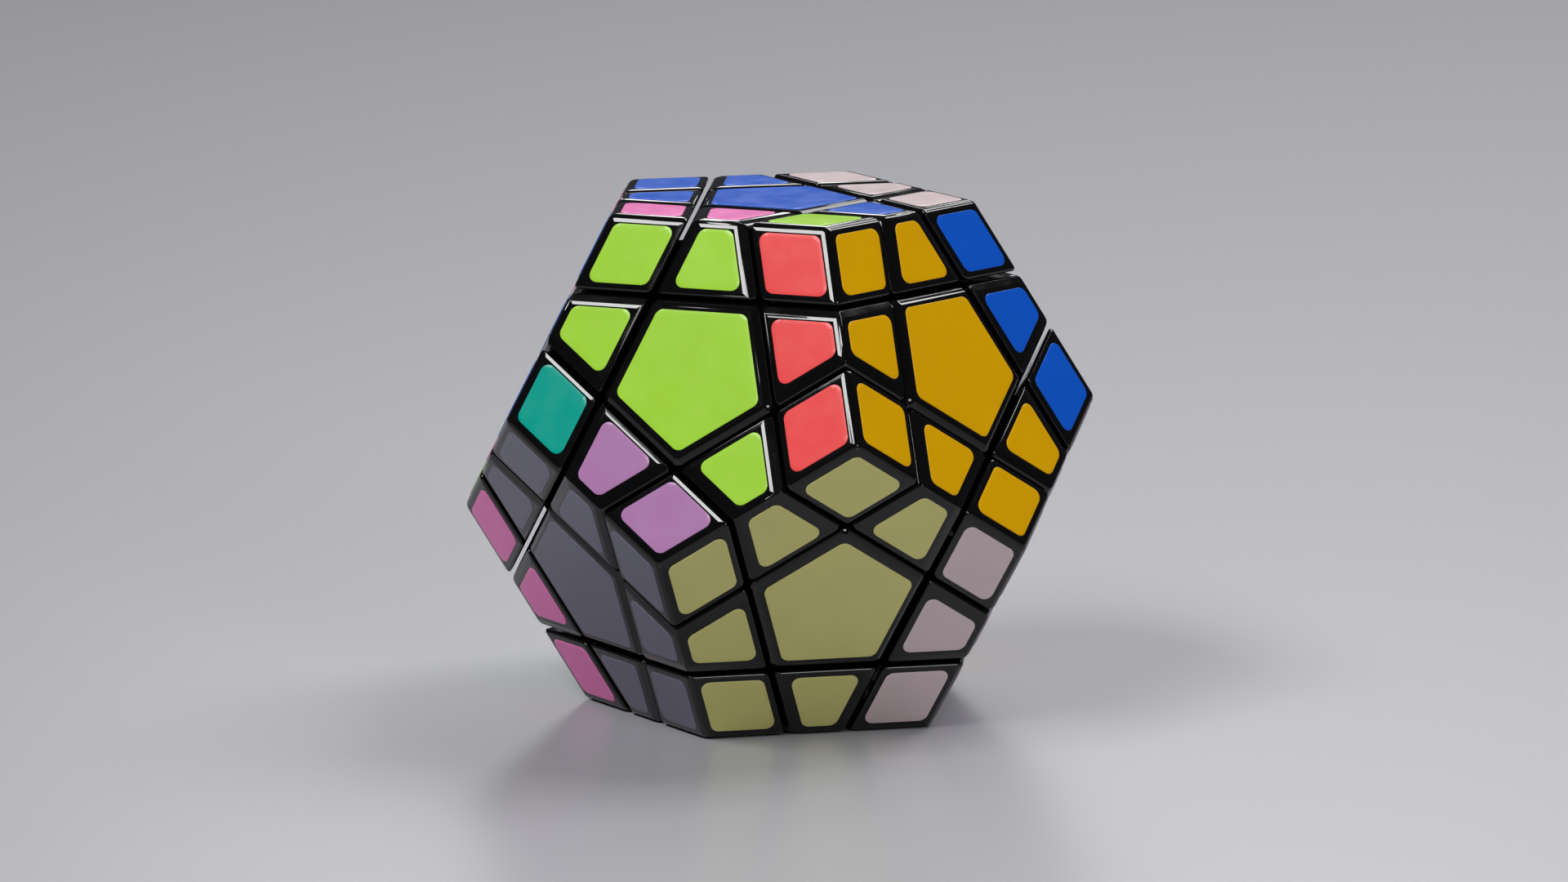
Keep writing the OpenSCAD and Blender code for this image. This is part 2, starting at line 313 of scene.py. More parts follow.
class Workbench:
    """One mesh object and the modelling steps that shape it.

    Attributes:
        cone_sides: Number of faces round a cone.
        ball_rings: Number of rings on a ball, which has twice as many segments.
        near: Distance within which points count as one.
        flat_slack: Angle within which a face counts as flat to an axis.
    """

    cone_sides: ClassVar[int] = 96
    ball_rings: ClassVar[int] = 64
    near: ClassVar[float] = 1e-7
    flat_slack: ClassVar[float] = math.radians(0.3)

    def __init__(self, obj: bpy.types.Object) -> None:
        """Takes over an object that an operator has just added.

        Args:
            obj: The object to shape.
        """
        self.obj = obj

    @staticmethod
    def deselect() -> None:
        """Deselects every object."""
        bpy.ops.object.select_all(action="DESELECT")

    @classmethod
    def cube(cls, size: float) -> Workbench:
        """A cube about the origin, as stock to cut from.

        Args:
            size: Length of its sides.

        Returns:
            The bench that holds it.
        """
        cls.deselect()
        bpy.ops.mesh.primitive_cube_add(size=size)
        return cls(bpy.context.object)

    @classmethod
    def cone(cls, low: tuple[float, float], high: tuple[float, float], axis: Vector) -> Workbench:
        """A turned frustum about an axis through the middle of the puzzle.

        Args:
            low: Radius and height of the inner end.
            high: Radius and height of the outer end.
            axis: Unit vector of the axis.

        Returns:
            The bench that holds it.
        """
        cls.deselect()
        bpy.ops.mesh.primitive_cone_add(
            vertices=cls.cone_sides, radius1=low[0], radius2=high[0], depth=high[1] - low[1]
        )
        bench = cls(bpy.context.object)
        bench.obj.matrix_world = about(axis) @ Matrix.Translation((0, 0, (low[1] + high[1]) / 2))
        bpy.ops.object.transform_apply(location=True, rotation=True, scale=True)
        return bench

    @classmethod
    def ball(cls, radius: float) -> Workbench:
        """A ball about the origin.

        Args:
            radius: Its radius.

        Returns:
            The bench that holds it.
        """
        cls.deselect()
        rings = cls.ball_rings
        bpy.ops.mesh.primitive_uv_sphere_add(segments=2 * rings, ring_count=rings, radius=radius)
        return cls(bpy.context.object)

    def _activate(self) -> None:
        """Makes this object the only selected one."""
        self.deselect()
        self.obj.select_set(True)
        bpy.context.view_layer.objects.active = self.obj

    def _open(self, kind: str) -> bmesh.types.BMesh:
        """Opens the object in edit mode with nothing selected.

        Args:
            kind: What is picked in it: VERT, EDGE or FACE.

        Returns:
            The mesh that is open.
        """
        self._activate()
        bpy.ops.object.mode_set(mode="EDIT")
        bpy.ops.mesh.select_mode(type=kind)
        bpy.ops.mesh.select_all(action="DESELECT")
        return bmesh.from_edit_mesh(self.obj.data)

    def _close(self) -> Workbench:
        """Leaves edit mode and returns this bench."""
        bpy.ops.object.mode_set(mode="OBJECT")
        return self

    def cut(self, normal: Vector, distance: float) -> Workbench:
        """Cuts away all that lies beyond a plane and closes the cut.

        Args:
            normal: Unit normal of the plane, toward the side that goes.
            distance: Distance of the plane from the origin.

        Returns:
            This bench.
        """
        self._open("VERT")
        bpy.ops.mesh.select_all(action="SELECT")
        bpy.ops.mesh.bisect(
            plane_co=normal * distance,
            plane_no=normal,
            use_fill=True,
            clear_outer=True,
            threshold=self.near,
        )
        return self._close()

    def bevel(
        self, wanted: EdgeTest, width: float, segments: int, profile: float = 0.5
    ) -> Workbench:
        """Rounds the edges that a test picks.

        Args:
            wanted: Tells from an edge's two ends whether it is rounded.
            width: Distance from the edge to where the rounding starts.
            segments: Number of faces across the rounding.
            profile: Shape of the rounding, 0.5 for round.

        Returns:
            This bench.
        """
        mesh = self._open("EDGE")
        for edge in mesh.edges:
            edge.select_set(wanted(edge.verts[0].co, edge.verts[1].co))
        bmesh.update_edit_mesh(self.obj.data)
        bpy.ops.mesh.bevel(
            offset=width, segments=segments, profile=profile, affect="EDGES", clamp_overlap=True
        )
        return self._close()

    def crown(self, normal: Vector, height: float, width: float, drop: float) -> Workbench:
        """Lets the border of a flat face slope down a little.

        Args:
            normal: Unit normal of the face.
            height: Distance of the face from the origin.
            width: Width of the sloping border.
            drop: How far its outer edge goes down.

        Returns:
            This bench.
        """
        mesh = self._open("FACE")
        for face in mesh.faces:
            face.select_set(all(abs(v.co.dot(normal) - height) < self.near for v in face.verts))
        bmesh.update_edit_mesh(self.obj.data)
        bpy.ops.transform.translate(value=-drop * normal)
        bpy.ops.mesh.inset(thickness=width, depth=0)
        bpy.ops.transform.translate(value=drop * normal)
        return self._close()

    def combine(self, other: Workbench, way: Join) -> Workbench:
        """Combines this solid with another one, which is used up and removed.

        Args:
            other: The bench that holds the other solid.
            way: How the two combine.

        Returns:
            This bench.
        """
        self._activate()
        step = self.obj.modifiers.new(way.name.lower(), "BOOLEAN")
        step.operation = way.value
        step.object = other.obj
        step.solver = "MANIFOLD"
        bpy.context.view_layer.update()
        bpy.ops.object.modifier_apply(modifier=step.name)
        bpy.data.meshes.remove(other.obj.data)
        return self

    def smooth(self, angle: float, axes: Sequence[Vector] = (), tilt: float = 0.0) -> Workbench:
        """Shades faces smoothly across edges flatter than an angle, with flats kept flat.

        Args:
            angle: Largest angle between faces that shade smoothly, in degrees.
            axes: Axes of the flats, whose outlines stay sharp.
            tilt: Angle from an axis within which the borders beside a flat stay flat too, in radians.

        Returns:
            This bench.
        """
        flat = math.cos(self.flat_slack)
        sloped = math.cos(tilt + self.flat_slack)
        mesh = self._open("EDGE")
        for edge in mesh.edges:
            for axis in axes:
                leans = [face.normal.dot(axis) for face in edge.link_faces]
                if max(leans) > flat or min(leans) > sloped:
                    edge.smooth = False
        bmesh.update_edit_mesh(self.obj.data)
        self._close()
        bpy.ops.object.shade_smooth_by_angle(angle=math.radians(angle), keep_sharp_edges=True)
        even = self.obj.modifiers.new("even_normals", "WEIGHTED_NORMAL")
        even.keep_sharp = True
        bpy.ops.object.modifier_apply(modifier=even.name)
        return self

    def copy(self, name: str, matrix: Matrix) -> bpy.types.Object:
        """A finished copy of the shape with its own mesh, put in place.

        Args:
            name: Name of the copy.
            matrix: Where the copy goes.

        Returns:
            The new object, at the origin, with its place in its mesh.
        """
        mesh = self.obj.data.copy()
        mesh.name = name
        mesh.transform(matrix)
        made = bpy.data.objects.new(name, mesh)
        bpy.context.scene.collection.objects.link(made)
        return made

    def discard(self) -> None:
        """Removes the pattern once all its copies are made."""
        bpy.data.meshes.remove(self.obj.data)


def srgb(code: str) -> tuple[float, float, float, float]:
    """Linear colour of a web colour code, by the standard sRGB curve.

    Args:
        code: Six hexadecimal digits.

    Returns:
        Linear red, green, blue and alpha.
    """
    shares = [int(code[k : k + 2], 16) / 255 for k in (0, 2, 4)]
    linear = [s / 12.92 if s <= 0.04045 else ((s + 0.055) / 1.055) ** 2.4 for s in shares]
    return (linear[0], linear[1], linear[2], 1.0)


@dataclass(frozen=True)
class PieceFinish:
    """Finish of a moulded or plated piece, with slight changes of tone and gloss over its surface.

    Attributes:
        name: Name of the material.
        colour: Six hexadecimal digits.
        rough_low: Roughness where it is glossiest.
        rough_high: Roughness where it is dullest.
        tone: Share by which the colour drifts.
        tone_size: Size of the patches of tone. Those of gloss are a third as large.
        grain_size: Size of the grain.
        grain_depth: Depth of the grain.
        metallic: 1 for metal.
        specular: Strength of its reflections.
        tone_span: Values of the noise between which the tone changes.
        gloss_span: Values of the noise between which the gloss changes.
        tone_detail: Finer octaves in the noise of the tone.
        gloss_detail: Finer octaves in the noise of the gloss.
        grain_detail: Finer octaves in the grain.
    """

    name: str
    colour: str
    rough_low: float
    rough_high: float
    tone: float = 0.06
    tone_size: float = 9 * MM
    grain_size: float = 0.35 * MM
    grain_depth: float = 0.004 * MM
    metallic: float = 0.0
    specular: float = 0.5
    tone_span: tuple[float, float] = (0.3, 0.7)
    gloss_span: tuple[float, float] = (0.35, 0.65)
    tone_detail: float = 3.0
    gloss_detail: float = 6.0
    grain_detail: float = 2.0

    def material(self) -> bpy.types.Material:
        """Makes the node material.

        Returns:
            The new material.
        """
        made = bpy.data.materials.new(self.name)
        made.use_nodes = True
        tree = made.node_tree
        shader = tree.nodes["Principled BSDF"]
        shader.inputs["Metallic"].default_value = self.metallic
        shader.inputs["Specular IOR Level"].default_value = self.specular
        where = tree.nodes.new("ShaderNodeTexCoord")
        self._tone(tree, where, shader)
        self._gloss(tree, where, shader)
        self._grain(tree, where, shader)
        return made

    def _noise(
        self, tree: bpy.types.NodeTree, where: bpy.types.Node, size: float, detail: float
    ) -> bpy.types.Node:
        """A noise of a given feature size on the piece's own coordinates.

        Args:
            tree: Node tree to add it to.
            where: Texture coordinate node.
            size: Feature size in metres.
            detail: Number of finer octaves.

        Returns:
            The noise node.
        """
        noise = tree.nodes.new("ShaderNodeTexNoise")
        noise.inputs["Scale"].default_value = 1 / size
        noise.inputs["Detail"].default_value = detail
        tree.links.new(where.outputs["Object"], noise.inputs["Vector"])
        return noise

    def _tone(
        self, tree: bpy.types.NodeTree, where: bpy.types.Node, shader: bpy.types.Node
    ) -> None:
        """Lets the colour drift a little over the surface.

        Args:
            tree: Node tree to add to.
            where: Texture coordinate node.
            shader: Shader that takes the colour.
        """
        noise = self._noise(tree, where, self.tone_size, self.tone_detail)
        ramp = tree.nodes.new("ShaderNodeValToRGB")
        base = srgb(self.colour)
        gains = (1 - self.tone, 1 + self.tone)
        for element, position, gain in zip(ramp.color_ramp.elements, self.tone_span, gains):
            element.position = position
            element.color = (*(min(1.0, c * gain) for c in base[:3]), 1.0)
        tree.links.new(noise.outputs["Fac"], ramp.inputs["Fac"])
        tree.links.new(ramp.outputs["Color"], shader.inputs["Base Color"])

    def _gloss(
        self, tree: bpy.types.NodeTree, where: bpy.types.Node, shader: bpy.types.Node
    ) -> None:
        """Lets the gloss change with handling marks.

        Args:
            tree: Node tree to add to.
            where: Texture coordinate node.
            shader: Shader that takes the roughness.
        """
        noise = self._noise(tree, where, self.tone_size / 3, self.gloss_detail)
        span = tree.nodes.new("ShaderNodeMapRange")
        span.inputs["From Min"].default_value = self.gloss_span[0]
        span.inputs["From Max"].default_value = self.gloss_span[1]
        span.inputs["To Min"].default_value = self.rough_low
        span.inputs["To Max"].default_value = self.rough_high
        tree.links.new(noise.outputs["Fac"], span.inputs["Value"])
        tree.links.new(span.outputs["Result"], shader.inputs["Roughness"])

    def _grain(
        self, tree: bpy.types.NodeTree, where: bpy.types.Node, shader: bpy.types.Node
    ) -> None:
        """Adds the faint unevenness of a moulded face.

        Args:
            tree: Node tree to add to.
            where: Texture coordinate node.
            shader: Shader that takes the normal.
        """
        noise = self._noise(tree, where, self.grain_size, self.grain_detail)
        bump = tree.nodes.new("ShaderNodeBump")
        bump.inputs["Strength"].default_value = 1.0
        bump.inputs["Distance"].default_value = self.grain_depth
        tree.links.new(noise.outputs["Fac"], bump.inputs["Height"])
        tree.links.new(bump.outputs["Normal"], shader.inputs["Normal"])


BLACK = PieceFinish(
    "black_plastic", "060607", rough_low=0.05, rough_high=0.1, tone=0.2, grain_depth=0.002 * MM
)
CORE_PLASTIC = PieceFinish(
    "core_plastic", "34363a", rough_low=0.4, rough_high=0.55, tone=0.1, grain_depth=0.01 * MM
)
STEEL = PieceFinish(
    "plated_steel", "c2c4c8", rough_low=0.22, rough_high=0.34, metallic=1.0, grain_size=0.12 * MM
)
TILE_COLOURS = {
    Hue.BLUE: "0f56c6",
    Hue.PINK: "ec7cbc",
    Hue.LIME: "a0d43c",
    Hue.WHITE: "d3c0c2",
    Hue.RED: "ee5050",
    Hue.AMBER: "d8a200",
    Hue.KHAKI: "cdc87f",
    Hue.GREY: "6b6a7d",
    Hue.TEAL: "009d8c",
    Hue.LILAC: "ad7aab",
    Hue.ORANGE: "f07a1e",
    Hue.GREEN: "1f7a3a",
}


def tile_finish(hue: Hue) -> PieceFinish:
    """Satin finish of a tile.

    Args:
        hue: The tile's colour.

    Returns:
        The finish.
    """
    return PieceFinish(
        hue.slot,
        TILE_COLOURS[hue],
        rough_low=0.16,
        rough_high=0.22,
        tone=0.03,
        grain_size=0.5 * MM,
        grain_depth=0.002 * MM,
        specular=0.2,
    )


@dataclass(frozen=True)
class TilePlan:
    """Outlines of the tiles, as sides given by the angle of the outward normal and the distance.

    Attributes:
        lattice: Faces and shared sizes.
        border: Black border round a centre's tile, and on the other tiles' inner sides.
        side_border: Black border at the ends of an edge's tile.
        outer_border: Black border along the outer edges of a face.
        corner_r: Radius of the tiles' corners.
    """

    lattice: Lattice
    border: float = 1.55 * MM
    side_border: float = 1.9 * MM
    outer_border: float = 1.3 * MM
    corner_r: float = 1.2 * MM

    @property
    def centre(self) -> list[Side]:
        """Sides of a centre's tile, anticlockwise, with one toward +X."""
        return [(STEP * k, self.lattice.cut_s - self.border) for k in range(SIDES)]

    @property
    def edge(self) -> list[Side]:
        """Sides of an edge's tile, anticlockwise, with the outer one toward +X."""
        inner = self.lattice.cut_s + self.border
        outer = self.lattice.edge_s - self.outer_border
        side = self.lattice.cut_s - self.side_border
        return [(0, outer), (STEP, side), (180, -inner), (360 - STEP, side)]

    @property
    def corner(self) -> list[Side]:
        """Sides of a corner's tile, anticlockwise, with the outer point toward +X."""
        inner = self.lattice.cut_s + self.border
        outer = self.lattice.edge_s - self.outer_border
        return [(-STEP / 2, outer), (STEP / 2, outer), (2 * STEP, -inner), (3 * STEP, -inner)]


@dataclass
class Mechanism:
    """Hidden necks and feet that hold the pieces to each other, as cones and balls about the axes.

    Attributes:
        lattice: Faces and shared sizes.
        neck_angle: Half angle of the cones that shape the necks, in degrees.
        foot_angle: Half angle of the cones that shape the feet, in degrees.
        foot_top_r: Radius of the ball over the feet.
        foot_base_r: Radius of the ball under the feet.
        low_z: Height of the inner ends of the cones.
        neck_top: How far a neck reaches up into its block.
    """

    lattice: Lattice
    neck_angle: float = 44.0
    foot_angle: float = 49.5
    foot_top_r: float = 26 * MM
    foot_base_r: float = 21 * MM
    low_z: float = 8 * MM
    neck_top: float = 2 * MM

    def cone(self, axis: Vector, angle: float, room: float, top: float) -> Workbench:
        """Frustum about a face axis, wider than its cone by some room.

        Args:
            axis: Unit vector of the face axis.
            angle: Half angle of the cone, in degrees.
            room: Distance from the cone's surface, negative inside it.
            top: Height of its outer end.

        Returns:
            The bench that holds it.
        """
        slope = math.tan(math.radians(angle))
        shift = room / math.cos(math.radians(angle))
        low = (self.low_z * slope + shift, self.low_z)
        high = (top * slope + shift, top)
        return Workbench.cone(low, high, axis)

    def shared(self, axes: Sequence[Vector], angle: float, top: float) -> Workbench:
        """What lies inside the cones of several axes, less the running gap.

        Args:
            axes: Face axes of the piece.
            angle: Half angle of the cones, in degrees.
            top: Height of their outer ends.

        Returns:
            The bench that holds it.
        """
        inner = -self.lattice.half_inner
        solid = self.cone(axes[0], angle, inner, top)
        for axis in axes[1:]:
            solid.combine(self.cone(axis, angle, inner, top), Join.INTERSECT)
        return solid

    def neck(self, axes: Sequence[Vector], ends: Sequence[Vector]) -> Workbench:
        """Neck under a piece, reaching up into its block.

        Args:
            axes: Face axes of the piece.
            ends: Axes of the layers that turn past its ends.

        Returns:
            The bench that holds it.
        """
        solid = self.shared(axes, self.neck_angle, self.lattice.cut_z + self.neck_top)
        for axis in ends:
            solid.cut(axis, self.lattice.cut_z - self.lattice.half_gap)
        inside_foot = (self.foot_top_r + self.foot_base_r) / 2
        return solid.combine(Workbench.ball(inside_foot), Join.DIFFERENCE)

    def foot(self, axes: Sequence[Vector]) -> Workbench:
        """Foot that hooks under the neighbours.

        Args:
            axes: Face axes of the piece.

        Returns:
            The bench that holds it.
        """
        solid = self.shared(axes, self.foot_angle, self.lattice.cut_z)
        solid.combine(Workbench.ball(self.foot_top_r - self.lattice.half_inner), Join.INTERSECT)
        under = Workbench.ball(self.foot_base_r + self.lattice.half_inner)
        return solid.combine(under, Join.DIFFERENCE)

    def clear_necks(self, solid: Workbench, ends: Sequence[Vector]) -> Workbench:
        """Cuts the room for the necks of layers that turn past a piece.

        Args:
            solid: The bench that holds the piece.
            ends: Axes of those layers.

        Returns:
            The same bench.
        """
        top = self.lattice.cut_z + self.neck_top
        for axis in ends:
            room = self.cone(axis, self.neck_angle, self.lattice.half_inner, top)
            solid.combine(room, Join.DIFFERENCE)
        return solid

    def clear_feet(self, solid: Workbench, ends: Sequence[Vector]) -> Workbench:
        """Cuts the room for the feet of layers that turn past a piece.

        Args:
            solid: The bench that holds the piece.
            ends: Axes of those layers.

        Returns:
            The same bench.
        """
        for axis in ends:
            room = self.cone(axis, self.foot_angle, self.lattice.half_inner, self.lattice.cut_z)
            room.combine(Workbench.ball(self.foot_top_r + self.lattice.half_inner), Join.INTERSECT)
            solid.combine(room, Join.DIFFERENCE)
        return solid


@dataclass
class Mouldings:
    """The black corner blocks, edge blocks and centre caps.

    Attributes:
        lattice: Faces and shared sizes.
        plan: Outlines of the tiles on them.
        mechanism: Hidden necks and feet.
        finish: Material of the blocks.
        bevel: Width of the rounding along the edges.
        bevel_steps: Faces across the rounding.
        cap_profile: Shape of the rounding on the caps, flatter than round.
        borders: Run out to each stage, from the tile or the stage before, and its slope in radians.
        seam_z: Height of the seam between a cap and its base.
        plug_r: Radius of the plug under a cap.
        plug_h: Height of the plug below the seam.
        stock: Size of the cube that a block is cut from.
        smooth_angle: Largest angle between faces that shade smoothly, in degrees.
        slack: Distance by which an edge has to leave the seam to be rounded.
    """

    lattice: Lattice
    plan: TilePlan
    mechanism: Mechanism
    finish: bpy.types.Material
    bevel: float = 0.85 * MM
    bevel_steps: int = 8
    cap_profile: float = 0.36
    borders: tuple[tuple[float, float], ...] = (
        (0.2 * MM, math.radians(5.5)),
        (0.45 * MM, math.radians(15)),
    )
    seam_z: float = 31.4 * MM
    plug_r: float = 5 * MM
    plug_h: float = 2.4 * MM
    stock: float = 120 * MM
    smooth_angle: float = 30.0
    slack: float = 0.005 * MM

    def off_seam(self, a: Vector, b: Vector) -> bool:
        """Whether an edge of a cap, given by its two ends, reaches up from its seam."""
        return max(a.z, b.z) > self.seam_z + self.slack

    def slope_borders(
        self,
        block: Workbench,
        axes: Sequence[Vector],
        toward: Sequence[Vector],
        sides: Sequence[Side],
    ) -> None:
        """Rounds the edges of a block and lets the borders round its tiles fall away.

        Args:
            block: The bench that holds the block.
            axes: Axes of its outer faces.
            toward: Direction that each face's X turns to.
            sides: Sides of the tiles on it.
        """
        block.bevel(lambda a, b: True, self.bevel, self.bevel_steps)
        for axis, way in zip(axes, toward):
            frame = place(axis, way).to_3x3()
            for angle, distance in sides:
                outward = frame @ direction(LEVEL, angle)
                point = axis * self.lattice.black_z + outward * distance
                fall = 0.0
                for run, slope in self.borders:
                    point += (outward - axis * fall) * run
                    normal = frame @ direction(slope, angle)
                    block.cut(normal, normal.dot(point))
                    fall = math.tan(slope)

    def outer_block(self, axes: Sequence[Vector]) -> Workbench:
        """Stock cut to the outer faces of a piece and to the cuts under its layers.

        Args:
            axes: Face axes of the piece.

        Returns:
            The bench that holds it.
        """
        block = Workbench.cube(self.stock)
        for axis in axes:
            block.cut(axis, self.lattice.black_z)
            block.cut(-axis, -self.lattice.cut_z - self.lattice.half_gap)
        return block

    def corner(self) -> Workbench:
        """Corner block with its neck and foot, on the face about +Z, with its tip toward +X.

        Returns:
            The bench that holds it.
        """
        lattice = self.lattice
        axes = [UP, direction(lattice.tilt, STEP / 2), direction(lattice.tilt, -STEP / 2)]
        block = self.outer_block(axes)
        middle = sum(axes, Vector())
        self.slope_borders(block, axes, [middle] * len(axes), self.plan.corner)
        block.combine(self.mechanism.neck(axes, ()), Join.UNION)
        block.combine(self.mechanism.foot(axes), Join.UNION)
        return block.smooth(self.smooth_angle, axes, self.borders[-1][1])

    def edge(self) -> Workbench:
        """Edge block with its neck and foot, on the face about +Z, with the other face toward +X.

        Returns:
            The bench that holds it.
        """
        lattice = self.lattice
        axes = [UP, direction(lattice.tilt, 0)]
        ends = [direction(lattice.tilt, STEP), direction(lattice.tilt, -STEP)]
        block = self.outer_block(axes)
        for axis in ends:
            block.cut(axis, lattice.cut_z - lattice.half_gap)
        self.slope_borders(block, axes, axes[::-1], self.plan.edge)
        block.combine(self.mechanism.neck(axes, ends), Join.UNION)
        block.combine(self.mechanism.foot(axes), Join.UNION)
        self.mechanism.clear_necks(block, ends)
        self.mechanism.clear_feet(block, ends)
        return block.smooth(self.smooth_angle, axes, self.borders[-1][1])

    def cap(self) -> Workbench:
        """Cap of a centre with the plug under it, about +Z, with a side toward +X.

        Returns:
            The bench that holds it.
        """
        lattice = self.lattice
        sides = [direction(lattice.tilt, STEP * k) for k in range(SIDES)]
        block = Workbench.cube(self.stock)
        block.cut(UP, lattice.black_z)
        block.cut(-UP, -self.seam_z)
        for axis in sides:
            block.cut(axis, lattice.cut_z - lattice.half_gap)
        block.bevel(self.off_seam, self.bevel, self.bevel_steps, self.cap_profile)
        self.mechanism.clear_necks(block, sides)
        low = (self.plug_r, self.seam_z - self.plug_h)
        inside_cap = (self.plug_r, self.seam_z + self.plug_h / 2)
        block.combine(Workbench.cone(low, inside_cap, UP), Join.UNION)
        return block.smooth(self.smooth_angle, [UP])

    def settle(self, made: bpy.types.Object, piece: Piece, node: str) -> None:
        """Dresses a block, lets it ride and puts it in place of its solid.

        Args:
            made: The block.
            piece: Faces that it shows on.
            node: Name of the solid that it stands for.
        """
        made.data.materials.clear()
        made.data.materials.append(self.finish)
        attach(made, self.lattice.body_of(piece))
        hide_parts(node)
        LOG.info("%s stands for %s", made.name, node)

    def build_kind(
        self,
        pattern: Workbench,
        kind: str,
        pieces: Sequence[Piece],
        toward: Callable[[Piece], Vector],
    ) -> None:
        """Copies one pattern to all its places.

        Args:
            pattern: The bench that holds the pattern.
            kind: Plain name of the kind of piece.
            pieces: Faces of each piece.
            toward: Gives the direction that a piece's X turns to.
        """
        lattice = self.lattice
        counts: dict[str, int] = {}
        for piece in pieces:
            layer = lattice.layer_of(piece)
            faces = "_".join(lattice.names[i] for i in piece)
            where = place(lattice.axes[piece[0]], toward(piece))
            if layer is None:
                node = f"{kind}s_fixed"
            elif kind == "cap":
                node = f"cap_{layer}"
            else:
                counts[layer] = counts.get(layer, 0) + 1
                node = f"{layer}_{kind}_{counts[layer]}"
            self.settle(pattern.copy(f"{kind}_block_{faces}", where), piece, node)
        pattern.discard()

    def build(self) -> None:
        """Makes every black block."""
        lattice = self.lattice
        axes = lattice.axes
        faces = [(i,) for i in range(FACES)]
        self.build_kind(self.corner(), "corner", lattice.corners, lattice.middle)
        self.build_kind(self.edge(), "edge", lattice.edges, lambda piece: axes[piece[1]])
        self.build_kind(self.cap(), "cap", faces, lambda piece: lattice.neighbour(piece[0]))


@dataclass
class Tiles:
    """The thin coloured tiles, one on each face of each block.

    Attributes:
        lattice: Faces and shared sizes.
        plan: Outlines of the tiles.
        corner_steps: Faces round each corner of a tile.
        crown: How far the border of a tile slopes down.
        crown_w: Width of that border.
        rim: Width of the rounding along its outline.
        rim_steps: Faces across that rounding.
        sink: How far a tile is let into the black.
        stock: Size of the cube that a tile is cut from.
        near: Distance within which an edge counts as lying on a side.
        smooth_angle: Largest angle between faces that shade smoothly, in degrees.
    """

    lattice: Lattice
    plan: TilePlan
    corner_steps: int = 8
    crown: float = 0.02 * MM
    crown_w: float = 0.6 * MM
    rim: float = 0.06 * MM
    rim_steps: int = 4
    sink: float = 0.05 * MM
    stock: float = 80 * MM
    near: float = 0.01 * MM
    smooth_angle: float = 40.0

    def tile(self, sides: Sequence[Side]) -> Workbench:
        """A tile on the face about +Z.

        Args:
            sides: Angle of the outward normal in degrees and distance of each side, anticlockwise.

        Returns:
            The bench that holds it.
        """
        lattice = self.lattice
        slab = Workbench.cube(self.stock)
        slab.cut(UP, lattice.face_z)
        slab.cut(-UP, self.sink - lattice.black_z)
        for angle, distance in sides:
            slab.cut(direction(LEVEL, angle), distance)
        for one, two in zip(sides, [*sides[1:], sides[0]]):
            self._round_corner(slab, one, two)
        slab.crown(UP, lattice.face_z, self.crown_w, self.crown)
        slab.bevel(self._on_rim, self.rim, self.rim_steps)
        return slab.smooth(self.smooth_angle)

    def _on_rim(self, a: Vector, b: Vector) -> bool:
        """Whether an edge of a tile, given by its two ends, lies on its upper outline."""
        rim_z = self.lattice.face_z - self.crown
        return all(abs(p.z - rim_z) < self.crown / 10 for p in (a, b))

    def _round_corner(self, slab: Workbench, one: Side, two: Side) -> None:
        """Rounds the upright edge where two sides of a tile meet.

        Args:
            slab: The bench that holds the tile.
            one: Angle and distance of the first side.
            two: Angle and distance of the second side.
        """

        def on_both(a: Vector, b: Vector) -> bool:
            """Whether an edge, given by its two ends, lies on both sides."""
            return all(
                abs(end.dot(direction(LEVEL, angle)) - distance) < self.near
                for end in (a, b)
                for angle, distance in (one, two)
            )

        turn = (two[0] - one[0]) % 360
        width = self.plan.corner_r * math.tan(math.radians(turn / 2))
        slab.bevel(on_both, width, self.corner_steps)

    def build(self) -> None:
        """Makes every tile and joins those of one colour on one body."""
        lattice = self.lattice
        axes = lattice.axes
        centre = self.tile(self.plan.centre)
        edge = self.tile(self.plan.edge)
        corner = self.tile(self.plan.corner)
        groups: dict[tuple[str, Hue], list[bpy.types.Object]] = {}

        def add(pattern: Workbench, piece: Piece, face: int, toward: Vector, hue: Hue) -> None:
            """Copies a tile to a face of a piece and files it under its body and colour."""
            made = pattern.copy("tile", place(axes[face], toward))
            groups.setdefault((lattice.body_of(piece), hue), []).append(made)

        for face in range(FACES):
            add(centre, (face,), face, lattice.neighbour(face), lattice.hue_at(face))
        for piece in lattice.edges:
            for face, other in (piece, piece[::-1]):
                add(edge, piece, face, axes[other], lattice.hue_at(face, axes[other]))
        for piece in lattice.corners:
            way = lattice.middle(piece)
            for face in piece:
                add(corner, piece, face, way, lattice.hue_at(face, way))
        for pattern in (centre, edge, corner):
            pattern.discard()
        finishes = {hue: tile_finish(hue).material() for hue in Hue}
        for (body, hue), copies in groups.items():
            self._join(body, hue, copies, finishes[hue])

    def _join(
        self, body: str, hue: Hue, copies: list[bpy.types.Object], finish: bpy.types.Material
    ) -> None:
        """Joins the tiles of one colour on one body and dresses them.

        Args:
            body: Body that they ride on.
            hue: Their colour.
            copies: The tiles.
            finish: Their material.
        """
        Workbench.deselect()
        for made in copies:
            made.select_set(True)
        joined = copies[0]
        bpy.context.view_layer.objects.active = joined
        if len(copies) > 1:
            bpy.ops.object.join()
        joined.name = f"{hue.name.lower()}_tiles_{body}"
        joined.data.materials.clear()
        joined.data.materials.append(finish)
        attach(joined, body)
        holder = "fixed" if body == "body" else body.removesuffix("_layer")
        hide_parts(f"tiles_{holder}")
        LOG.info("%s joins %d tiles", joined.name, len(copies))


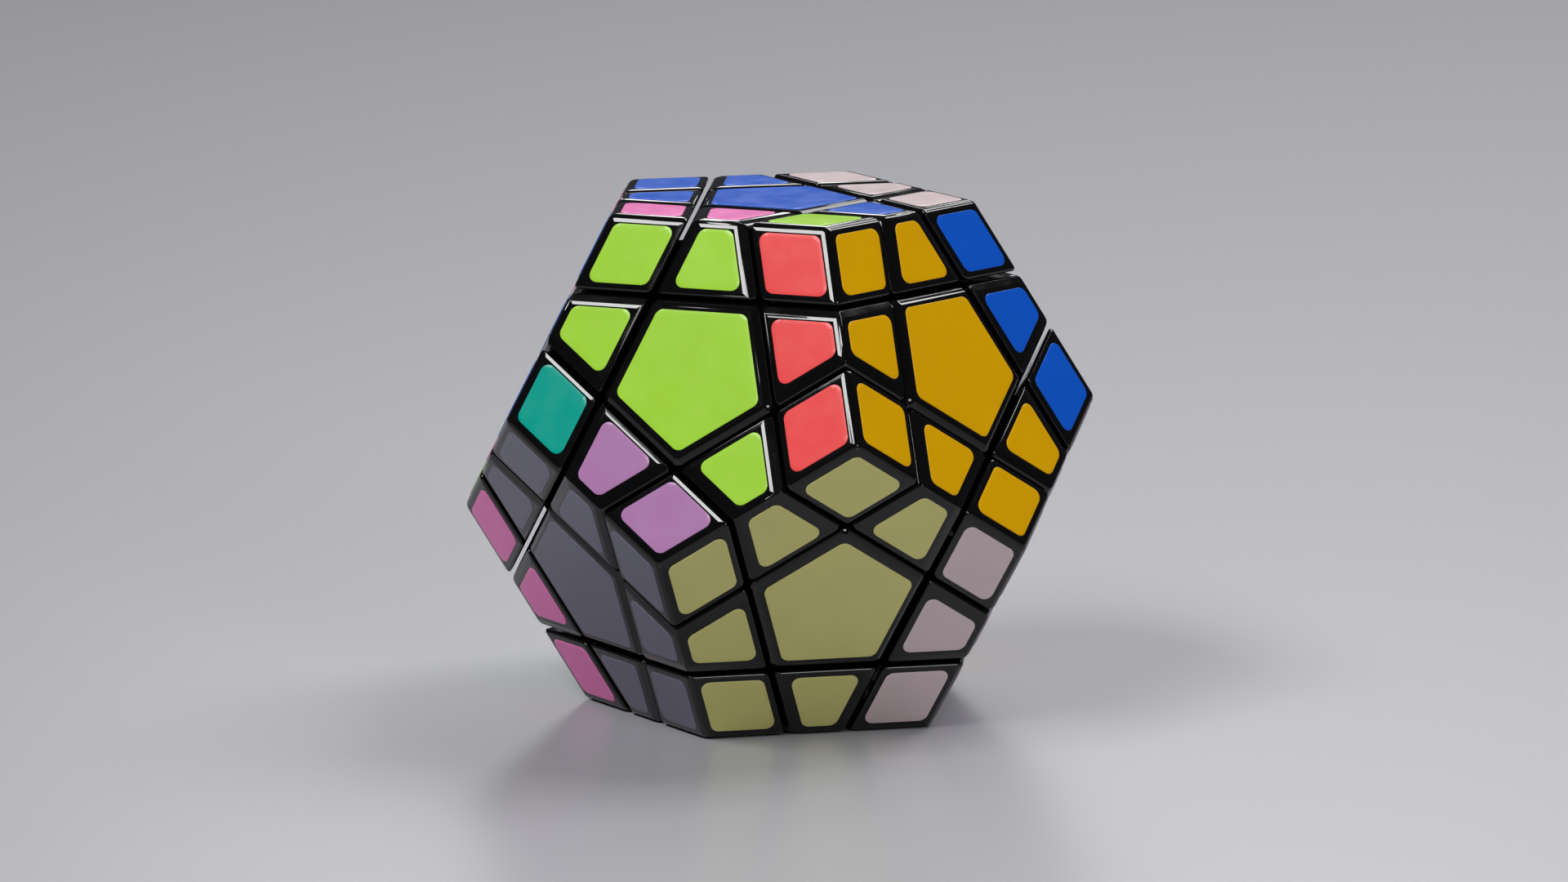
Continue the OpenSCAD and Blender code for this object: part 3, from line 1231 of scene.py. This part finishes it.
@dataclass
class InnerParts:
    """Core, screws, washers, springs and centre bases, which keep their solids.

    Attributes:
        nodes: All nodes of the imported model, by name.
        black: Material of the centre bases.
    """

    nodes: dict[str, bpy.types.Object]
    black: bpy.types.Material

    def dress(self) -> None:
        """Gives every solid that still shows its finish."""
        core = CORE_PLASTIC.material()
        steel = STEEL.material()
        finishes = {"core": core, "core_screws": steel, "screw_washers": steel, "tension_springs": steel}
        for name, node in self.nodes.items():
            if node.hide_render:
                continue
            for slot in node.material_slots:
                slot.material = finishes.get(name, self.black)
            LOG.info("%s keeps its solid", name)


@dataclass(frozen=True)
class Softbox:
    """A rectangular soft light that faces the middle of the puzzle.

    Attributes:
        name: Plain name of the light.
        way: Direction in which it hangs.
        along: Direction that its length lies in.
        distance: How far away it hangs, in metres.
        length: Length of its face, in metres.
        width: Width of its face, in metres.
        power: Its power, in watts.
    """

    name: str
    way: tuple[float, float, float]
    along: tuple[float, float, float]
    distance: float
    length: float
    width: float
    power: float


SOFTBOXES = (
    Softbox("strip", (-0.555, -0.325, 0.765), (-0.113, 0.417, 0.095), 1.2, 0.87, 0.26, 11.4),
    Softbox("key", (0.582, 0.205, 0.786), (1.0, 0.0, 0.0), 1.4, 0.6, 0.6, 10.8),
    Softbox("top", (0.371, 0.55, 0.748), (1.0, 0.0, 0.0), 1.4, 0.6, 0.6, 4.5),
    Softbox("front", (0.2, -0.9, 0.38), (1.0, 0.0, 0.0), 1.5, 0.35, 0.35, 3.6),
    Softbox("rear", (0.257, 0.895, 0.365), (1.0, 0.0, 0.0), 1.4, 0.5, 0.17, 1.2),
)


@dataclass
class Studio:
    """Floor, lamps, surroundings and the camera.

    Attributes:
        floor_z: Height of the floor.
        floor_size: Length of its sides, in metres.
        floor_colour: Six hexadecimal digits.
        floor_rough: Roughness of the floor.
        world_colour: Colour of the light from all round, as six hexadecimal digits.
        world_strength: Strength of that light.
        azimuth: Camera's angle from +X about +Z, in degrees.
        elevation: Camera's angle above the level, in degrees.
        distance: Camera's distance from the middle of the puzzle, in metres.
        right: How far the camera is moved to its right.
        rise: How far the camera is moved up.
        lens: Focal length, in millimetres.
        sensor: Width of the camera's sensor, in millimetres.
        clip_start: Distance from which the camera sees, in metres.
    """

    floor_z: float
    floor_size: float = 8.0
    floor_colour: str = "a9a9ae"
    floor_rough: float = 0.32
    world_colour: str = "f4f4ff"
    world_strength: float = 0.06
    azimuth: float = -104.107
    elevation: float = 10.347
    distance: float = 1.2549
    right: float = 0.697 * MM
    rise: float = 1.3 * MM
    lens: float = 211.22
    sensor: float = 36.0
    clip_start: float = 0.01

    def floor(self) -> None:
        """Lays a plain pale floor."""
        Workbench.deselect()
        bpy.ops.mesh.primitive_plane_add(size=self.floor_size, location=(0, 0, self.floor_z))
        sheet = bpy.context.object
        sheet.name = "floor"
        paint = bpy.data.materials.new("floor")
        paint.use_nodes = True
        shader = paint.node_tree.nodes["Principled BSDF"]
        shader.inputs["Base Color"].default_value = srgb(self.floor_colour)
        shader.inputs["Roughness"].default_value = self.floor_rough
        sheet.data.materials.append(paint)
        sheet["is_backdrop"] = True

    def surroundings(self) -> None:
        """Sets an even, soft light from all round."""
        world = bpy.data.worlds.new("studio")
        world.use_nodes = True
        sky = world.node_tree.nodes["Background"]
        sky.inputs["Color"].default_value = srgb(self.world_colour)
        sky.inputs["Strength"].default_value = self.world_strength
        bpy.context.scene.world = world

    def hang(self, box: Softbox) -> None:
        """Hangs a soft light that faces the puzzle.

        Args:
            box: The light.
        """
        light = bpy.data.lights.new(box.name, "AREA")
        light.shape = "RECTANGLE"
        light.size = box.length
        light.size_y = box.width
        light.energy = box.power
        way = Vector(box.way).normalized()
        lamp = bpy.data.objects.new(box.name, light)
        lamp.matrix_world = Matrix.Translation(way * box.distance) @ place(way, Vector(box.along))
        bpy.context.scene.collection.objects.link(lamp)

    def camera(self) -> None:
        """Sets the camera at the photograph's angle."""
        tilt = math.radians(90 - self.elevation)
        back = direction(tilt, self.azimuth)
        across = UP.cross(back).normalized()
        above = back.cross(across)
        data = bpy.data.cameras.new("camera")
        data.lens = self.lens
        data.sensor_width = self.sensor
        data.clip_start = self.clip_start
        made = bpy.data.objects.new("camera", data)
        spot = back * self.distance + across * self.right + above * self.rise
        turned = Matrix((across, above, back)).transposed().to_4x4()
        made.matrix_world = Matrix.Translation(spot) @ turned
        bpy.context.scene.collection.objects.link(made)
        bpy.context.scene.camera = made

    def build(self) -> None:
        """Sets up the whole studio."""
        bpy.context.scene.view_settings.view_transform = "Standard"
        self.floor()
        self.surroundings()
        for box in SOFTBOXES:
            self.hang(box)
        self.camera()


def main() -> None:
    """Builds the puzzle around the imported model."""
    logging.basicConfig(level=logging.INFO, format="%(name)s: %(message)s")
    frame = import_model()
    cad_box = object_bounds()
    lattice = Lattice(face_z=cad_box[1].z)
    black = BLACK.material()
    plan = TilePlan(lattice)
    Mouldings(lattice, plan, Mechanism(lattice), black).build()
    Tiles(lattice, plan).build()
    InnerParts(frame["nodes"], black).dress()
    Studio(floor_z=cad_box[0].z).build()


if __name__ == "__main__":
    main()
